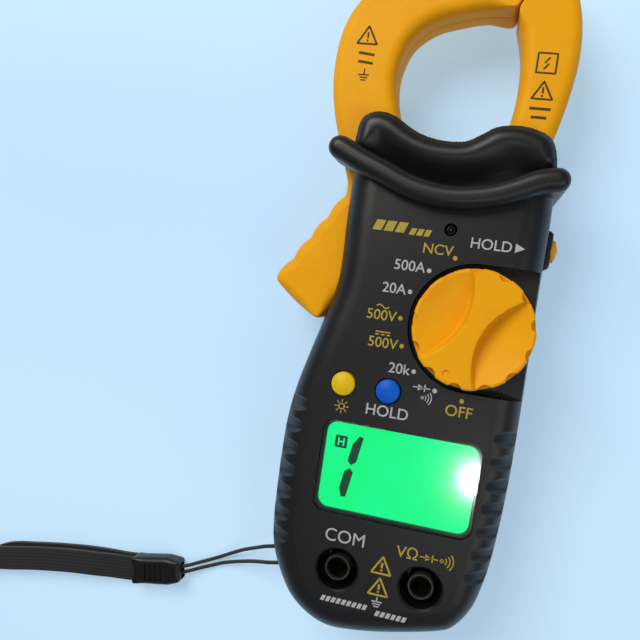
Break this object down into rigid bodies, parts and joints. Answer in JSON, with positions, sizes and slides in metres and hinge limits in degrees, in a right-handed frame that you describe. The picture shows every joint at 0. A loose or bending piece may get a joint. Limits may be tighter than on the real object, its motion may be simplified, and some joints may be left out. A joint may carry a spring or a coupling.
{
  "type": "clamp meter",
  "caption": "Hand-held AC clamp meter: two curved jaws, trigger, range dial, green display, test sockets and a wrist strap.",
  "frame": {"origin": "on the flat back, midway between the sockets' columns and 60 mm above the row of sockets", "axes": "+Z out of the face, +Y along the meter towards the jaws, +X to the right seen from the front"},
  "size_m": [0.2054, 0.1915, 0.0304],
  "materials": {
    "casing": "fine spark texture",
    "amber_shell": "satin",
    "lemon_cap": "satin",
    "blue_cap": "satin",
    "clear_plastic": "polished",
    "display": "backlit",
    "steel": "bright",
    "brass": "bright",
    "copper": "enamelled copper wire",
    "laminations": "dull",
    "board": "solder mask",
    "white_plastic": "natural",
    "black_plastic": "satin",
    "rubber": "matt",
    "webbing": "woven"
  },
  "bodies": {
    "meter": {"front_casing": "casing", "rear_casing": "casing", "battery_door": "casing", "case_screw_1": "steel", "case_screw_2": "steel", "case_screw_3": "steel", "case_screw_4": "steel", "battery_door_screw": "steel", "jaw_pivot_pin": "steel", "fixed_jaw_front": "amber_shell", "fixed_jaw_rear": "amber_shell", "fixed_core": "laminations", "coil_bobbin": "white_plastic", "coil_winding": "copper", "return_spring": "steel", "detent_spring": "steel", "display_window": "clear_plastic", "lcd_panel": "display", "backlight_plate": "white_plastic", "lcd_frame": "black_plastic", "elastomer_strip": "rubber", "backlight_switch": "black_plastic", "hold_switch": "black_plastic", "side_switch": "black_plastic", "socket_sleeve_com": "black_plastic", "socket_sleeve_volt": "black_plastic", "socket_contact_com": "brass", "socket_contact_volt": "brass", "circuit_board": "board", "measuring_chip": "black_plastic", "buzzer": "brass", "input_resistor": "blue_cap", "sensing_lamp": "clear_plastic", "battery_1": "black_plastic", "battery_2": "black_plastic", "battery_bridge": "steel", "battery_contact_1": "steel", "battery_contact_2": "steel", "battery_spring_1": "steel", "battery_spring_2": "steel", "strap_cord": "webbing", "strap_crimp": "black_plastic", "strap_band_run": "webbing", "strap_band_loop": "webbing"},
    "jaw": {"moving_jaw_front": "amber_shell", "moving_jaw_rear": "amber_shell", "moving_core": "laminations"},
    "dial": {"range_dial": "amber_shell", "dial_rotor": "white_plastic", "dial_wiper": "brass"},
    "backlight_key": {"backlight_button": "lemon_cap"},
    "hold_key": {"hold_button": "blue_cap"},
    "side_key": {"side_hold_button": "amber_shell"}
  },
  "joints": [
    {"name": "jaw_hinge", "type": "hinge", "parent": "meter", "child": "jaw", "pos_m": [-0.014, 0.0215, 0.0135], "axis": [0, 0, 1], "range_deg": [0, 28], "stiffness_Nm_per_rad": 0.35, "springref_deg": -14.32, "deforming": ["return_spring"]},
    {"name": "dial_turn", "type": "hinge", "parent": "meter", "child": "dial", "pos_m": [0.0121, -0.0016, 0.026], "axis": [0, 0, 1], "range_deg": [-135, 22.5]},
    {"name": "backlight_press", "type": "slide", "parent": "meter", "child": "backlight_key", "axis": [0, 0, -1], "range_m": [0, 0.0008], "stiffness_N_per_m": 900, "springref_m": -0.0003},
    {"name": "hold_press", "type": "slide", "parent": "meter", "child": "hold_key", "axis": [0, 0, -1], "range_m": [0, 0.0008], "stiffness_N_per_m": 900, "springref_m": -0.0003},
    {"name": "side_press", "type": "slide", "parent": "meter", "child": "side_key", "axis": [-1, 0, 0], "range_m": [0, 0.0012], "stiffness_N_per_m": 700, "springref_m": -0.0003}
  ]
}
